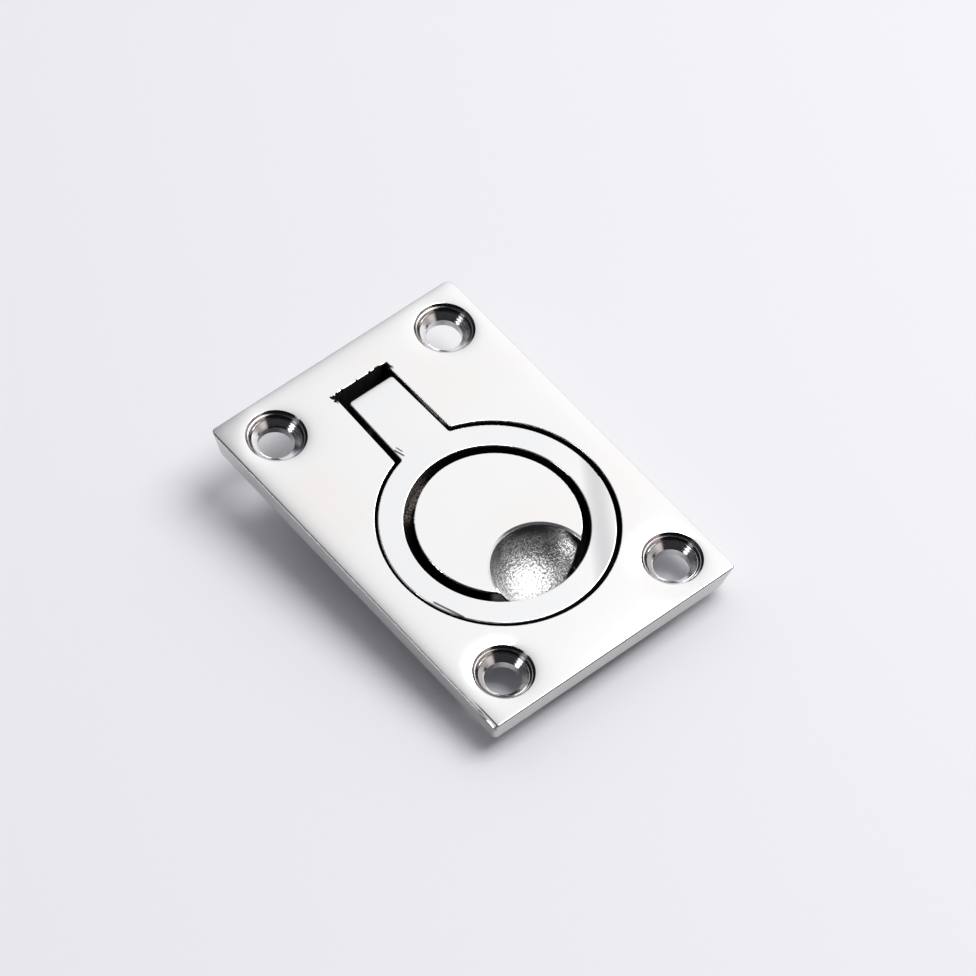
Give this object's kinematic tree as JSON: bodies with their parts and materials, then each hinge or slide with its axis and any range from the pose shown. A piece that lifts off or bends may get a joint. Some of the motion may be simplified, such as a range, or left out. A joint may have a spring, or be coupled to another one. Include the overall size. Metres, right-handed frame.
{
  "type": "recessed hatch pull",
  "caption": "Flush lift handle for a hatch: a screw-down flange with a keyhole recess and a finger scoop holds a ring pull on a hidden hinge pin.",
  "frame": {"origin": "middle of the screw holes, on the underside of the flange, which sits on the hatch", "axes": "+Z out of the hatch, square to the flange; +Y along the flange from the ring towards the hinge; +X across it"},
  "size_m": [0.0445, 0.0636, 0.0102],
  "materials": {
    "polished_casting": "mirror-polished stainless steel casting, rough as cast in the scoop and behind",
    "polished_ring": "mirror-polished stainless steel casting",
    "drawn_pin": "drawn stainless steel wire"
  },
  "bodies": {
    "plate": {"recess_plate": "polished_casting", "hinge_pin": "drawn_pin"},
    "ring": {"pull_ring": "polished_ring"}
  },
  "joints": [
    {"name": "ring_lift", "type": "hinge", "parent": "plate", "child": "ring", "pos_m": [0, 0.01965, -0.00165], "axis": [-1, 0, 0], "range_deg": [0, 90]}
  ]
}
